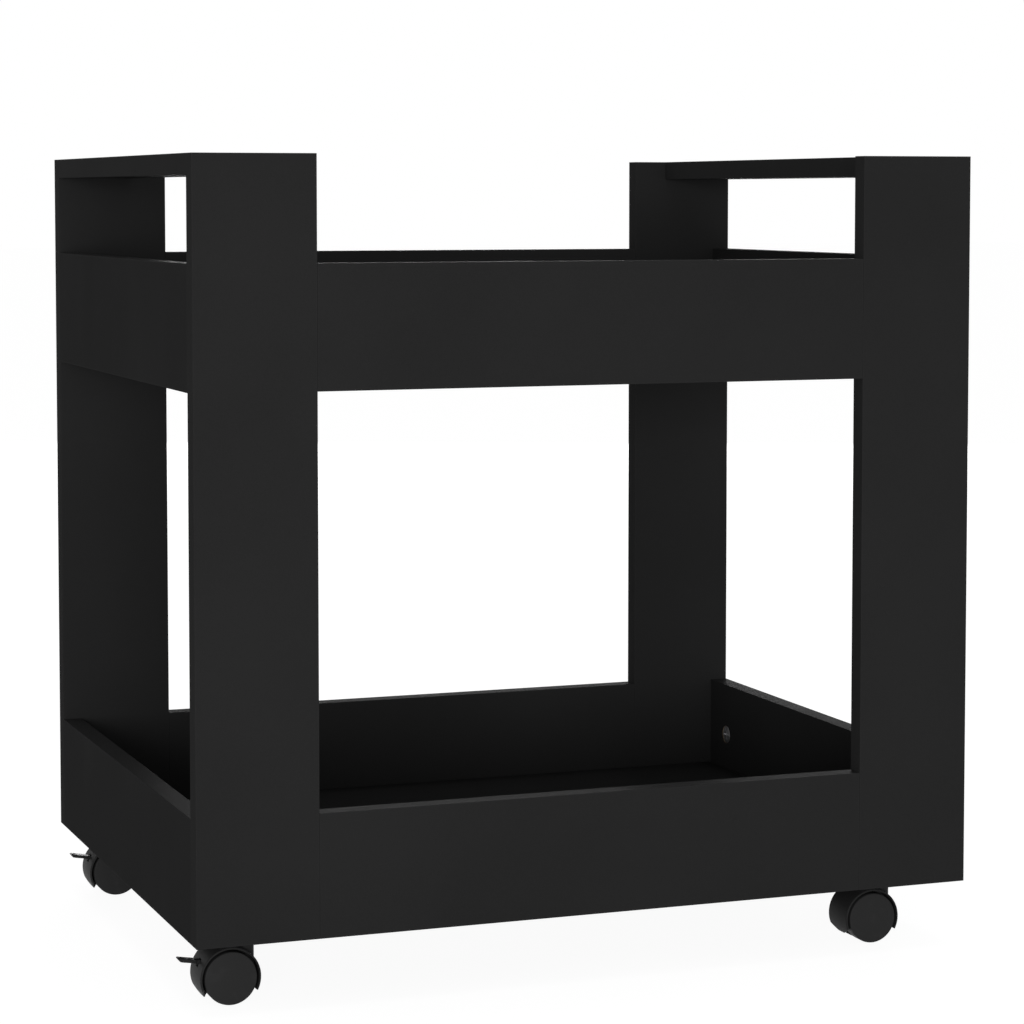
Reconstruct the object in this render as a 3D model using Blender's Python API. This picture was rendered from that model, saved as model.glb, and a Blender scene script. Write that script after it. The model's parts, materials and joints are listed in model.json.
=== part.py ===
# Two-shelf rolling cart of black laminated board on four twin-wheel casters.
# Metres, +Z up. The origin is on the floor under the middle of the frame, and the front faces -Y.
# Two flat frames, front and back, are joined by side rails, shelves and two flat handles. Cam locks
# hold the side rails to the stiles, and dowels hold the front and back rails and the shelves.
# The casters trail towards -X, and the left pair has brakes.

import math

import bmesh
import bpy
from mathutils import Matrix, Vector

# Frame of boards
FRAME_WIDTH = 0.600
FRAME_DEPTH = 0.450
FRAME_HEIGHT = 0.550
BOARD = 0.015  # thickness of every board
STILE_WIDTH = 0.089
RAIL_HEIGHT = 0.089
STILE_HORN = 0.076  # how far the stiles stand above the upper rails
HANDLE_WIDTH = 0.061
EDGE_BREAK = 0.0004  # small bevel of the edge banding
SEAT = 0.0002  # gap left where one piece rests on another

# Wooden dowels in the butt joints, all along X, and glued into the rail or shelf that they are part of
DOWEL_RADIUS = 0.0040
DOWEL_LENGTH = 0.030
DOWEL_SETBACK = 0.022  # dowel axis from the long edges of a front or back rail
DOWEL_IN_FACE = 0.0105  # depth of a shelf's dowel in the side rail
SHELF_DOWEL_SPACING = 0.200

# Cam locks in the side rails
CAM_RADIUS = 0.0074
CAM_SETBACK = 0.034  # from the rail's end to the drum's centre
CAM_ABOVE_SHELF = 0.030  # drum's centre above the shelf beside it
CAM_WALL = 0.0005  # drum left below the bolt's channel
BOLT_THREAD_RADIUS = 0.0030
BOLT_THREAD_LENGTH = 0.0105
BOLT_NECK_RADIUS = 0.0020
BOLT_HEAD_RADIUS = 0.0032
BOLT_HEAD_LENGTH = 0.0032
BOLT_SIDES = 6

# Casters
CASTER_INSET = 0.047  # swivel axis from the frame's outer faces, in X and in Y
TRAIL = 0.014  # wheel axis behind the swivel axis
WHEEL_RADIUS = 0.019
WHEEL_WIDTH = 0.0105
WHEEL_SIDES = 24
WEB_THICKNESS = 0.0094  # middle wall of the hood, between the wheels
RUNNING = 0.0003  # gap round everything that turns
RIM_WALL = 0.0028
DISC_WALL = 0.0018
HUB_WALL = 0.0024
RIB_COUNT = 5
RIB_WALL = 0.0014
AXLE_RADIUS = 0.0025
HOOD_WALL = 0.0013
HOOD_CLEARANCE = 0.0019  # between the tread and the hood
HOOD_FRONT_ANGLE = -27.0  # where the hood ends over the wheels, in degrees about the wheel axis
HOOD_BACK_ANGLE = 200.0
HOOD_TAIL_ANGLE = 214.0  # the hood's back end slants from its sides down to the middle wall
BRAKED_TAIL_ANGLE = 220.0  # the same on a hood with a brake
HOOD_EDGE = 0.0008
HUB_BOSS_RADIUS = 0.010
NECK_RADIUS = 0.0066
NECK_HEIGHT = 0.0061  # from the hood's crown up to the plate's dish
KINGPIN_RADIUS = 0.0030
KINGPIN_HEAD_RADIUS = 0.0054
KINGPIN_HEAD_HEIGHT = 0.0009
KINGPIN_GRIP = 0.016  # how far the pin reaches below the hood's crown
PLATE_SIZE = 0.038
PLATE_THICKNESS = 0.0015
PLATE_CORNER = 0.005
DISH_RADIUS = 0.0088
DISH_DEPTH = 0.0012
SCREW_SPACING = 0.027
SCREW_RADIUS = 0.0017
SCREW_LENGTH = 0.012
SCREW_HEAD_RADIUS = 0.0033
SCREW_HEAD_HEIGHT = 0.0018
SCREW_SIDES = 6

# Brake lever, hinged in the hood's middle wall
LEVER_WIDTH = 0.0050  # inside the hood's slot
PADDLE_WIDTH = 0.0080  # outside it
LEVER_SHOULDER = 0.0065  # from its pivot to where the paddle begins
LEVER_THICKNESS = 0.0023
LEVER_REACH = 0.0206  # from its pivot to its tip
LEVER_RISE = 9.0  # degrees above level when the brake is off
LEVER_TRAVEL = 20.0  # degrees down to the locked position
LEVER_BARREL = 0.0018
LEVER_PIN_RADIUS = 0.0011
LEVER_PIVOT_ANGLE = 146.0  # place of the pivot about the wheel axis
LEVER_PIVOT_DEPTH = 0.0040  # below the hood's outer face
LEVER_NOSE = 0.0028  # cam under the barrel, from the pivot

ARC_STEP = 10.0  # degrees of arc for each facet of a large curve
PIN_SIDES = 10
DRUM_SIDES = 16
DOWEL_SIDES = 6

# Sizes that follow from the ones above
CAM_DEPTH = BOARD / 2 + BOLT_HEAD_RADIUS + RUNNING + CAM_WALL
WHEEL_INNER = WEB_THICKNESS / 2 + RUNNING
WHEEL_OUTER = WHEEL_INNER + WHEEL_WIDTH
POCKET_RADIUS = WHEEL_RADIUS + HOOD_CLEARANCE
HOOD_RADIUS = POCKET_RADIUS + HOOD_WALL
CROWN = WHEEL_RADIUS + HOOD_RADIUS
NECK_TOP = CROWN + NECK_HEIGHT
CASTER_HEIGHT = NECK_TOP + DISH_DEPTH + PLATE_THICKNESS
PLATE_UNDERSIDE = CASTER_HEIGHT - SEAT - PLATE_THICKNESS
HALF_WIDTH = FRAME_WIDTH / 2
HALF_DEPTH = FRAME_DEPTH / 2
FRAME_TOP = CASTER_HEIGHT + FRAME_HEIGHT
UPPER_RAIL_BOTTOM = FRAME_TOP - STILE_HORN - RAIL_HEIGHT


def clear_scene():
    for item in list(bpy.data.objects):
        bpy.data.objects.remove(item, do_unlink=True)


def finish(name, color, roughness, metallic=0.0):
    material = bpy.data.materials.new(name)
    material.use_nodes = True
    shader = material.node_tree.nodes["Principled BSDF"]
    shader.inputs["Base Color"].default_value = (*color, 1.0)
    shader.inputs["Roughness"].default_value = roughness
    shader.inputs["Metallic"].default_value = metallic
    return material


def new_object(name, mesh, location=(0, 0, 0), parent=None, turn=0.0):
    item = bpy.data.objects.new(name, mesh)
    item.location = location
    item.rotation_euler = (0, 0, turn)
    item.parent = parent
    bpy.context.collection.objects.link(item)
    return item


def to_mesh(bm, name):
    bmesh.ops.recalc_face_normals(bm, faces=bm.faces)
    mesh = bpy.data.meshes.new(name)
    bm.to_mesh(mesh)
    bm.free()
    return mesh


def box(name, low, high, edge=0.0):
    """Block between two corners, with a small bevel on its edges."""
    bm = bmesh.new()
    size = Vector(high) - Vector(low)
    middle = (Vector(high) + Vector(low)) / 2
    bmesh.ops.create_cube(bm, size=1.0, matrix=Matrix.Translation(middle) @ Matrix.Diagonal((*size, 1.0)))
    if edge:
        bmesh.ops.bevel(bm, geom=bm.edges[:], offset=edge, segments=1, affect="EDGES")
    return to_mesh(bm, name)


def prism(name, outline, low, high, edge=0.0):
    """Outline of (x, z) points, extruded along Y from low to high."""
    bm = bmesh.new()
    face = bm.faces.new([bm.verts.new((x, low, z)) for x, z in outline])
    side = bmesh.ops.extrude_face_region(bm, geom=[face])["geom"]
    moved = [v for v in side if isinstance(v, bmesh.types.BMVert)]
    bmesh.ops.translate(bm, verts=moved, vec=(0, high - low, 0))
    if edge:
        ends = [e for e in bm.edges if abs(e.verts[0].co.y - e.verts[1].co.y) < edge / 10]
        bmesh.ops.bevel(bm, geom=ends, offset=edge, segments=1, affect="EDGES")
    return to_mesh(bm, name)


def turned(name, profile, sides, axis="Z"):
    """Closed profile of (radius, height) points, turned about an axis, with a flat facet downwards."""
    bm = bmesh.new()
    verts = [bm.verts.new((radius, 0, height)) for radius, height in profile]
    edges = [bm.edges.new(pair) for pair in zip(verts, verts[1:] + verts[:1])]
    bmesh.ops.spin(bm, geom=verts + edges, cent=(0, 0, 0), axis=(0, 0, 1), angle=math.tau, steps=sides)
    bmesh.ops.remove_doubles(bm, verts=bm.verts, dist=0.00001)
    bmesh.ops.rotate(bm, verts=bm.verts, cent=(0, 0, 0), matrix=Matrix.Rotation(math.pi / sides, 3, "Z"))
    if axis == "Y":
        bmesh.ops.rotate(bm, verts=bm.verts, cent=(0, 0, 0), matrix=Matrix.Rotation(-math.pi / 2, 3, "X"))
    return to_mesh(bm, name)


def cylinder(name, radius, low, high, sides, axis="Z"):
    return turned(name, [(0, low), (radius, low), (radius, high), (0, high)], sides, axis)


def joined(name, parts):
    """One mesh of several, each moved by its own offset."""
    bm = bmesh.new()
    for mesh, offset in parts:
        start = len(bm.verts)
        bm.from_mesh(mesh)
        bm.verts.ensure_lookup_table()
        bmesh.ops.translate(bm, verts=bm.verts[start:], vec=offset)
    return to_mesh(bm, name)


def carved(name, body, steps):
    """Mesh of a body after joining or cutting it with each tool in turn."""
    work = new_object(name, body)
    tools = []
    for operation, tool in steps:
        tools.append(new_object(name + "_tool", tool))
        modifier = work.modifiers.new(operation.title(), "BOOLEAN")
        modifier.operation = operation
        modifier.solver = "EXACT"
        modifier.object = tools[-1]
    bpy.context.view_layer.update()
    shape = work.evaluated_get(bpy.context.evaluated_depsgraph_get())
    mesh = bpy.data.meshes.new_from_object(shape)
    mesh.name = name
    for item in [work] + tools:
        bpy.data.objects.remove(item, do_unlink=True)
    return mesh


def arc(center, radius, start, end):
    """Points of an arc from start to end, in degrees."""
    count = max(2, round(abs(end - start) / ARC_STEP))
    angles = [math.radians(start + (end - start) * i / count) for i in range(count + 1)]
    return [(center[0] + radius * math.cos(a), center[1] + radius * math.sin(a)) for a in angles]


def polar(center, radius, angle):
    a = math.radians(angle)
    return center[0] + radius * math.cos(a), center[1] + radius * math.sin(a)


def add_piece(name, mesh, material, location=(0, 0, 0), parent=None, turn=0.0):
    item = new_object(name, mesh.copy(), location, parent, turn)
    item.data.materials.clear()
    item.data.materials.append(material)
    return item


def shade_round(mesh):
    mesh.shade_smooth()
    mesh.set_sharp_from_angle(angle=math.radians(35))
    return mesh


# Boards


def make_board(name, low, high, material, drillings=(), dowels=()):
    """Board between two corners. Each drilling is a mesh in the board's own place, each dowel its middle."""
    middle = (Vector(low) + Vector(high)) / 2
    half = (Vector(high) - Vector(low)) / 2
    mesh = box(name, -half, half, EDGE_BREAK)
    steps = [("DIFFERENCE", tool) for tool in drillings]
    if dowels:
        steps.append(("UNION", dowel_rods("dowels", dowels)))
    if steps:
        mesh = carved(name, mesh, [(operation, joined(name, [(tool, -middle)])) for operation, tool in steps])
    return add_piece(name, mesh, material, middle)


def rail_levels():
    return {"lower": CASTER_HEIGHT, "upper": UPPER_RAIL_BOTTOM}


def rail_dowels(side, end, z):
    """Middles of the dowels between a stile and the end of a front or back rail."""
    x, y = side * (HALF_WIDTH - STILE_WIDTH), end * (HALF_DEPTH - BOARD / 2)
    return [(x, y, z + DOWEL_SETBACK), (x, y, z + RAIL_HEIGHT - DOWEL_SETBACK)]


def shelf_dowels(side, z):
    """Middles of the dowels between a side rail and the end of the shelf at its foot."""
    x = side * (HALF_WIDTH - BOARD + DOWEL_IN_FACE - DOWEL_LENGTH / 2)
    return [(x, y, z + BOARD / 2) for y in (-SHELF_DOWEL_SPACING / 2, SHELF_DOWEL_SPACING / 2)]


def dowel_rods(name, places, play=0.0):
    """Rods along X about each place, larger all round by the play."""
    reach = DOWEL_LENGTH / 2 + play
    corners = [polar((0, 0), DOWEL_RADIUS + play, 360 * i / DOWEL_SIDES) for i in range(DOWEL_SIDES)]
    rod = prism(name, corners, -reach, reach)
    rod.transform(Matrix.Rotation(math.pi / 2, 4, "Z"))
    return joined(name, [(rod, place) for place in places])


def cam_heights():
    return {level: z + BOARD + CAM_ABOVE_SHELF for level, z in rail_levels().items()}


def cam_axis(side):
    """X of the bolts, in the middle of the side rail's thickness."""
    return side * (HALF_WIDTH - BOARD / 2)


def thread_holes(side, end):
    """Blind holes in a stile's inner face for the two bolts of its side rails."""
    face = HALF_DEPTH - BOARD
    low, high = sorted((end * (face - 2 * SEAT), end * (face + BOLT_THREAD_LENGTH + RUNNING)))
    hole = cylinder("thread_hole", BOLT_THREAD_RADIUS + RUNNING, low, high, BOLT_SIDES, "Y")
    return joined("thread_holes", [(hole, (cam_axis(side), 0, z)) for z in cam_heights().values()])


def cam_drillings(side, level):
    """Drum bores in a side rail's inner face, and the bolts' bores from its ends."""
    z = cam_heights()[level]
    inner = HALF_WIDTH - BOARD
    bore = cylinder("drum_bore", CAM_RADIUS + RUNNING, -SEAT, CAM_DEPTH + RUNNING, DRUM_SIDES)
    bore.transform(Matrix.Rotation(side * math.pi / 2, 4, "Y"))
    rail_end = HALF_DEPTH - BOARD
    centre = rail_end - CAM_SETBACK
    drums = joined("drum_bores", [(bore, (side * inner, y, z)) for y in (-centre, centre)])
    bores = []
    for end in (-1, 1):
        low, high = sorted((end * centre, end * (rail_end + BOARD)))
        shaft = cylinder("bolt_bore", BOLT_HEAD_RADIUS + 2 * RUNNING, low, high, BOLT_SIDES, "Y")
        bores.append((shaft, (cam_axis(side), 0, z)))
    return [drums, joined("bolt_bores", bores)]


def caster_places():
    x, y = HALF_WIDTH - CASTER_INSET, HALF_DEPTH - CASTER_INSET
    return {"front_left": (-x, -y), "front_right": (x, -y), "back_left": (-x, y), "back_right": (x, y)}


def screw_places():
    step = SCREW_SPACING / 2
    return [(x, y) for x in (-step, step) for y in (-step, step)]


def screw_holes():
    """Pilot holes in the lower shelf, above every caster's plate."""
    low = CASTER_HEIGHT - BOARD
    high = CASTER_HEIGHT + SCREW_LENGTH - PLATE_THICKNESS + RUNNING
    hole = cylinder("pilot", SCREW_RADIUS + RUNNING, low, high, SCREW_SIDES)
    holes = []
    for x, y in caster_places().values():
        holes += [(hole, (x + dx, y + dy, 0)) for dx, dy in screw_places()]
    return joined("pilots", holes)


def make_frame(laminate):
    stile_inner = HALF_WIDTH - STILE_WIDTH
    face = HALF_DEPTH - BOARD
    reach = face - SEAT
    for end, where in ((-1, "front"), (1, "back")):
        y_low, y_high = sorted((end * face, end * HALF_DEPTH))
        for side, hand in ((-1, "left"), (1, "right")):
            x_low, x_high = sorted((side * stile_inner, side * HALF_WIDTH))
            low, high = (x_low, y_low, CASTER_HEIGHT), (x_high, y_high, FRAME_TOP)
            dowels = [place for z in rail_levels().values() for place in rail_dowels(side, end, z)]
            holes = [thread_holes(side, end), dowel_rods("dowel_holes", dowels, RUNNING)]
            make_board(f"stile_{where}_{hand}", low, high, laminate, holes)
        for level, z in rail_levels().items():
            low = (-stile_inner + SEAT, y_low, z)
            high = (stile_inner - SEAT, y_high, z + RAIL_HEIGHT)
            dowels = rail_dowels(-1, end, z) + rail_dowels(1, end, z)
            make_board(f"rail_{where}_{level}", low, high, laminate, dowels=dowels)
    for side, hand in ((-1, "left"), (1, "right")):
        x_low, x_high = sorted((side * (HALF_WIDTH - BOARD), side * HALF_WIDTH))
        for level, z in rail_levels().items():
            low, high = (x_low, -reach, z), (x_high, reach, z + RAIL_HEIGHT)
            holes = cam_drillings(side, level) + [dowel_rods("dowel_holes", shelf_dowels(side, z), RUNNING)]
            make_board(f"rail_{hand}_{level}", low, high, laminate, holes)
        x_low, x_high = sorted((side * (HALF_WIDTH - HANDLE_WIDTH), side * HALF_WIDTH))
        low, high = (x_low, -reach, FRAME_TOP - BOARD), (x_high, reach, FRAME_TOP)
        make_board(f"handle_{hand}", low, high, laminate)
    span = HALF_WIDTH - BOARD - SEAT
    for level, z in rail_levels().items():
        dowels = shelf_dowels(-1, z) + shelf_dowels(1, z)
        holes = [screw_holes()] if level == "lower" else []
        make_board(f"shelf_{level}", (-span, -reach, z), (span, reach, z + BOARD), laminate, holes, dowels)


# Cam locks


def cam_mesh():
    """Drum with its axis on X, its driven face at x = 0 and its channel for the bolt towards -Y."""
    drum = cylinder("drum", CAM_RADIUS, 0, CAM_DEPTH, DRUM_SIDES)
    drum.transform(Matrix.Rotation(math.pi / 2, 4, "Y"))
    bore = BOLT_HEAD_RADIUS + RUNNING
    channel = cylinder("channel", bore, -2 * CAM_RADIUS, CAM_RADIUS / 4, BOLT_SIDES, "Y")
    channel.transform(Matrix.Translation((BOARD / 2, 0, 0)))
    slot_depth, slot_width, slot_length = CAM_DEPTH / 8, CAM_RADIUS / 6, CAM_RADIUS * 0.55
    low, high = (-slot_depth, -slot_width, -slot_length), (slot_depth, slot_width, slot_length)
    cuts = [("DIFFERENCE", tool) for tool in (channel, box("slot", low, high))]
    return shade_round(carved("cam_lock", drum, cuts))


def bolt_mesh():
    """Bolt on Y: its collar lies on the stile at y = 0, and its head is inside the drum."""
    head_end = CAM_SETBACK - CAM_RADIUS / 4
    collar = BOLT_HEAD_RADIUS
    profile = [
        (0, -BOLT_THREAD_LENGTH),
        (BOLT_THREAD_RADIUS * 0.6, -BOLT_THREAD_LENGTH),
        (BOLT_THREAD_RADIUS, -BOLT_THREAD_LENGTH * 0.85),
        (BOLT_THREAD_RADIUS, SEAT),
        (collar, SEAT),
        (collar, SEAT + BOLT_HEAD_LENGTH / 2),
        (BOLT_NECK_RADIUS, SEAT + BOLT_HEAD_LENGTH / 2),
        (BOLT_NECK_RADIUS, head_end - BOLT_HEAD_LENGTH),
        (BOLT_HEAD_RADIUS, head_end - BOLT_HEAD_LENGTH * 0.8),
        (BOLT_HEAD_RADIUS, head_end - BOLT_HEAD_LENGTH * 0.3),
        (BOLT_NECK_RADIUS, head_end - RUNNING),
        (0, head_end - RUNNING),
    ]
    return shade_round(turned("cam_bolt", profile, BOLT_SIDES, "Y"))


def make_cam_locks(zinc, steel):
    cam, bolt = cam_mesh(), bolt_mesh()
    rail_end = HALF_DEPTH - BOARD
    for side, hand in ((-1, "left"), (1, "right")):
        for level, z in cam_heights().items():
            for end, where in ((-1, "front"), (1, "back")):
                place = f"{hand}_{level}_{where}"
                y = end * (rail_end - CAM_SETBACK)
                lock = add_piece("cam_lock_" + place, cam, zinc, (side * (HALF_WIDTH - BOARD), y, z))
                lock.scale = (side, -end, 1)
                screw = add_piece("cam_bolt_" + place, bolt, steel, (cam_axis(side), end * rail_end, z))
                screw.rotation_euler.z = 0 if end < 0 else math.pi


# Casters, in a frame with the swivel axis on Z and the floor at z = 0. The wheels trail at -X.


WHEEL_CENTRE = (-TRAIL, WHEEL_RADIUS)
LEVER_PIVOT = polar(WHEEL_CENTRE, HOOD_RADIUS - LEVER_PIVOT_DEPTH, LEVER_PIVOT_ANGLE)


def wheel_mesh():
    """Hollow wheel on Y, closed by its disc at the far end, with a blind hub and ribs inside."""
    flat = 1 / math.cos(math.pi / WHEEL_SIDES)
    tread = WHEEL_RADIUS * flat
    bore = AXLE_RADIUS + RUNNING
    hub = bore + HUB_WALL
    rim = (WHEEL_RADIUS - RIM_WALL) * flat
    edge = DISC_WALL / 2
    inside = WHEEL_WIDTH - DISC_WALL
    profile = [
        (0, inside),
        (bore, inside),
        (bore, 0),
        (hub, 0),
        (hub, inside),
        (rim, inside),
        (rim, 0),
        (tread, 0),
        (tread, WHEEL_WIDTH - edge),
        (tread - edge, WHEEL_WIDTH),
        (0, WHEEL_WIDTH),
    ]
    wheel = turned("wheel", profile, WHEEL_SIDES, "Y")
    inset = HUB_WALL / 2
    low = (bore + inset, inside / 4, -RIB_WALL / 2)
    rib = box("rib", low, (rim + RIM_WALL / 3, inside + DISC_WALL / 3, RIB_WALL / 2))
    ribs = []
    for i in range(RIB_COUNT):
        copy = rib.copy()
        copy.transform(Matrix.Rotation(math.tau * i / RIB_COUNT, 4, "Y"))
        ribs.append((copy, (0, 0, 0)))
    return shade_round(carved("wheel", wheel, [("UNION", joined("ribs", ribs))]))


def hood_outline(tail):
    outer = arc(WHEEL_CENTRE, HOOD_RADIUS, HOOD_FRONT_ANGLE, tail)
    boss = arc(WHEEL_CENTRE, HUB_BOSS_RADIUS, HOOD_BACK_ANGLE, 360 + HOOD_FRONT_ANGLE)
    return outer + boss


def tail_cuts(tail, half):
    """Wedges that slant the back end, from the hood's sides to its middle wall."""
    start = Vector(polar(WHEEL_CENTRE, HOOD_RADIUS, HOOD_BACK_ANGLE))
    along = Vector(polar(WHEEL_CENTRE, HOOD_RADIUS, tail)) - start
    slant = Vector((along.length, WEB_THICKNESS / 2 - half))
    begin = Vector((0, half)) - slant / 2
    reach = begin + 2 * slant
    outline = [begin, reach, (reach.x, begin.y)]
    depth = 3 * HOOD_WALL
    cuts = []
    for side in (-1, 1):
        ahead = Vector((along.x, 0, along.y)).normalized()
        across = Vector((0, side, 0))
        wedge = prism("wedge", outline, -depth, depth)
        wedge.transform(Matrix((ahead, across.cross(ahead), across)).transposed().to_4x4())
        wedge.transform(Matrix.Translation((start.x, 0, start.y)))
        cuts.append(wedge)
    return cuts


def hood_mesh(braked):
    """Moulded hood: a half round shell over both wheels, a middle wall, and a neck round the pin."""
    half = WHEEL_OUTER - RUNNING
    tail = BRAKED_TAIL_ANGLE if braked else HOOD_TAIL_ANGLE
    body = prism("hood", hood_outline(tail), -half, half, HOOD_EDGE)
    neck_low = WHEEL_RADIUS + HOOD_RADIUS / 5
    neck = cylinder("neck", NECK_RADIUS, neck_low, NECK_TOP - RUNNING, DRUM_SIDES)
    mouth = HOOD_FRONT_ANGLE - ARC_STEP
    roof = arc(WHEEL_CENTRE, POCKET_RADIUS, mouth, tail + ARC_STEP)
    below = arc(WHEEL_CENTRE, 2 * HOOD_RADIUS, tail + ARC_STEP, 360 + mouth)
    far = 2 * WHEEL_OUTER
    pocket = prism("pocket", roof + below, WEB_THICKNESS / 2, far)
    other = prism("pocket", roof + below, -far, -WEB_THICKNESS / 2)
    pin_low = CROWN - KINGPIN_GRIP - RUNNING
    pin_bore = cylinder("pin_bore", KINGPIN_RADIUS + RUNNING, pin_low, CASTER_HEIGHT, PIN_SIDES)
    axle_bore = cylinder("axle_bore", AXLE_RADIUS + RUNNING, -far, far, PIN_SIDES, "Y")
    axle_bore.transform(Matrix.Translation((WHEEL_CENTRE[0], 0, WHEEL_CENTRE[1])))
    steps = [("UNION", neck)]
    steps += [("DIFFERENCE", tool) for tool in (pocket, other, pin_bore, axle_bore, *tail_cuts(tail, half))]
    if braked:
        steps += [("DIFFERENCE", tool) for tool in lever_room()]
    return shade_round(carved("hood", body, steps))


def lever_room():
    """Slot in the middle wall where the lever swings, and the holes for its two pins."""
    half = LEVER_WIDTH / 2 + RUNNING
    x, z = LEVER_PIVOT
    margin = LEVER_BARREL + RUNNING
    far = 3 * LEVER_PIVOT_DEPTH
    up = far * math.tan(math.radians(LEVER_RISE))
    down = far * math.tan(math.radians(LEVER_TRAVEL - LEVER_RISE))
    outline = arc(LEVER_PIVOT, LEVER_NOSE + 2 * RUNNING, -130, 130)
    outline += [(x - far, z + margin + up), (x - far, z - margin - down)]
    pins = cylinder("pins", LEVER_PIN_RADIUS + RUNNING, -WEB_THICKNESS, WEB_THICKNESS, BOLT_SIDES, "Y")
    pins.transform(Matrix.Translation((x, 0, z)))
    return [prism("room", outline, -half, half), pins]


def lever_mesh():
    """Brake lever about its pivot: barrel, two pins, cam nose below, and a paddle towards -X."""
    half = LEVER_WIDTH / 2
    barrel = cylinder("barrel", LEVER_BARREL, -half, half, PIN_SIDES, "Y")
    pin_reach = WEB_THICKNESS / 2 - RUNNING
    pins = cylinder("pins", LEVER_PIN_RADIUS, -pin_reach, pin_reach, BOLT_SIDES, "Y")
    thick = LEVER_THICKNESS / 2
    shoulder, reach = -LEVER_SHOULDER, -LEVER_REACH
    neck_end = shoulder - thick
    neck = prism("neck", [(0, -thick), (0, thick), (neck_end, thick), (neck_end, -thick)], -half, half)
    outline = [(shoulder, -thick), (shoulder, thick), (reach, thick)]
    outline += [(reach, thick / 2), (reach + 3 * thick, -thick)]
    paddle = prism("paddle", outline, -PADDLE_WIDTH / 2, PADDLE_WIDTH / 2)
    for blade in (neck, paddle):
        blade.transform(Matrix.Rotation(math.radians(LEVER_RISE), 4, "Y"))
    wide = LEVER_BARREL * 0.6
    wedge = [(-wide, 0), (wide, 0), (wide / 2, -LEVER_NOSE), (-wide / 2, -LEVER_NOSE)]
    nose = prism("nose", wedge, -half * 0.9, half * 0.9)
    tools = (pins, neck, paddle, nose)
    return shade_round(carved("brake_lever", barrel, [("UNION", tool) for tool in tools]))


def plate_mesh():
    """Pressed steel plate with a dish for the pin's head, and its four screws."""
    half = PLATE_SIZE / 2
    low, top = PLATE_UNDERSIDE - DISH_DEPTH, CASTER_HEIGHT - SEAT
    middle = (PLATE_UNDERSIDE + top) / 2
    plate = box("plate", (-half, -half, PLATE_UNDERSIDE), (half, half, top))
    bm = bmesh.new()
    bm.from_mesh(plate)
    upright = [e for e in bm.edges if abs(e.verts[0].co.z - e.verts[1].co.z) > PLATE_THICKNESS / 2]
    bmesh.ops.bevel(bm, geom=upright, offset=PLATE_CORNER, segments=2, affect="EDGES", profile=0.5)
    plate = to_mesh(bm, "plate")
    rim = DISH_RADIUS + DISH_DEPTH
    outside = [(0, low), (DISH_RADIUS, low), (rim, PLATE_UNDERSIDE), (rim, middle), (0, middle)]
    boss = turned("boss", outside, PIN_SIDES)
    floor = low + PLATE_THICKNESS
    inner = DISH_RADIUS - PLATE_THICKNESS / 2
    above = floor + 2 * DISH_DEPTH
    hollow = [(0, floor), (inner, floor), (inner + 2 * DISH_DEPTH, above), (0, above)]
    dish = turned("dish", hollow, PIN_SIDES)
    hole = cylinder("hole", KINGPIN_RADIUS + RUNNING, low - DISH_DEPTH, above, PIN_SIDES)
    head_low = PLATE_UNDERSIDE - SCREW_HEAD_HEIGHT
    tip = PLATE_UNDERSIDE + SCREW_LENGTH
    profile = [
        (0, head_low),
        (SCREW_HEAD_RADIUS * 0.7, head_low),
        (SCREW_HEAD_RADIUS, head_low + SCREW_HEAD_HEIGHT / 2),
        (SCREW_HEAD_RADIUS, middle),
        (SCREW_RADIUS, middle),
        (SCREW_RADIUS, tip - SCREW_RADIUS),
        (0, tip),
    ]
    screw = turned("screw", profile, SCREW_SIDES)
    screws = joined("screws", [(screw, (x, y, 0)) for x, y in screw_places()])
    steps = [("UNION", boss), ("DIFFERENCE", dish), ("DIFFERENCE", hole), ("UNION", screws)]
    return shade_round(carved("caster_plate", plate, steps))


def kingpin_mesh():
    """Pin riveted in the plate's dish, with a groove for its spring clip near the lower end."""
    seat = PLATE_UNDERSIDE - DISH_DEPTH + PLATE_THICKNESS + SEAT
    low = CROWN - KINGPIN_GRIP
    groove = low + KINGPIN_RADIUS
    profile = [
        (0, low),
        (KINGPIN_RADIUS * 0.7, low),
        (KINGPIN_RADIUS, low + KINGPIN_RADIUS * 0.4),
        (KINGPIN_RADIUS, groove),
        (KINGPIN_RADIUS * 0.8, groove),
        (KINGPIN_RADIUS * 0.8, groove + KINGPIN_RADIUS * 0.4),
        (KINGPIN_RADIUS, groove + KINGPIN_RADIUS * 0.4),
        (KINGPIN_RADIUS, seat),
        (KINGPIN_HEAD_RADIUS, seat),
        (KINGPIN_HEAD_RADIUS, seat + KINGPIN_HEAD_HEIGHT * 0.6),
        (KINGPIN_HEAD_RADIUS * 0.8, seat + KINGPIN_HEAD_HEIGHT),
        (0, seat + KINGPIN_HEAD_HEIGHT),
    ]
    return shade_round(turned("kingpin", profile, PIN_SIDES))


def axle_mesh():
    half = WHEEL_INNER + WHEEL_WIDTH - DISC_WALL - RUNNING
    chamfer = AXLE_RADIUS * 0.3
    profile = [
        (0, -half),
        (AXLE_RADIUS - chamfer, -half),
        (AXLE_RADIUS, chamfer - half),
        (AXLE_RADIUS, half - chamfer),
        (AXLE_RADIUS - chamfer, half),
        (0, half),
    ]
    return shade_round(turned("axle", profile, PIN_SIDES, "Y"))


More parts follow.
